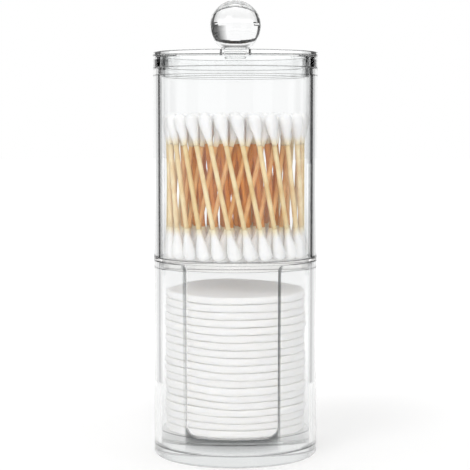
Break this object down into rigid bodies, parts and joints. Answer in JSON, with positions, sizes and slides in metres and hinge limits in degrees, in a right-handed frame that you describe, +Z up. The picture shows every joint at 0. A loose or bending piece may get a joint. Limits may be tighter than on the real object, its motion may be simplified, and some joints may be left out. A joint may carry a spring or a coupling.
{
  "type": "two-tier acrylic storage canister",
  "caption": "Clear round two-tier storage canister: ball-knob lid, upper jar of cotton swabs, lower jar with an open front slot and a stack of cotton pads.",
  "frame": {"origin": "centre of the base's underside", "axes": "+Z up along the tubes' axis, -Y to the front where the slot is, +X to the right seen from the front"},
  "size_m": [0.09, 0.09, 0.2486],
  "materials": {
    "clear_base": "clear polished acrylic",
    "clear_tube": "clear polished acrylic",
    "clear_lid": "clear polished acrylic",
    "clear_knob": "clear polished acrylic",
    "cotton_pad": "soft pressed cotton",
    "bamboo": "smooth bare bamboo",
    "cotton_tip": "soft wound cotton"
  },
  "bodies": {
    "lower_jar": {"base_plate": "clear_base", "lower_tube": "clear_tube", "cotton_pad_01": "cotton_pad", "cotton_pad_02": "cotton_pad", "cotton_pad_03": "cotton_pad", "cotton_pad_04": "cotton_pad", "cotton_pad_05": "cotton_pad", "cotton_pad_06": "cotton_pad", "cotton_pad_07": "cotton_pad", "cotton_pad_08": "cotton_pad", "cotton_pad_09": "cotton_pad", "cotton_pad_10": "cotton_pad", "cotton_pad_11": "cotton_pad", "cotton_pad_12": "cotton_pad", "cotton_pad_13": "cotton_pad", "cotton_pad_14": "cotton_pad", "cotton_pad_15": "cotton_pad", "cotton_pad_16": "cotton_pad", "cotton_pad_17": "cotton_pad", "cotton_pad_18": "cotton_pad", "cotton_pad_19": "cotton_pad"},
    "upper_jar": {"upper_floor": "clear_base", "upper_tube": "clear_tube", "swab_sticks_front": "bamboo", "swab_sticks_right": "bamboo", "swab_sticks_back": "bamboo", "swab_sticks_left": "bamboo", "swab_tips_front": "cotton_tip", "swab_tips_right": "cotton_tip", "swab_tips_back": "cotton_tip", "swab_tips_left": "cotton_tip"},
    "lid": {"lid": "clear_lid", "ball_knob": "clear_knob"}
  },
  "joints": [
    {"name": "upper_jar_lift", "type": "slide", "parent": "lower_jar", "child": "upper_jar", "axis": [0, 0, 1], "range_m": [0, 0.12]},
    {"name": "lid_lift", "type": "slide", "parent": "upper_jar", "child": "lid", "axis": [0, 0, 1], "range_m": [0, 0.1]}
  ]
}
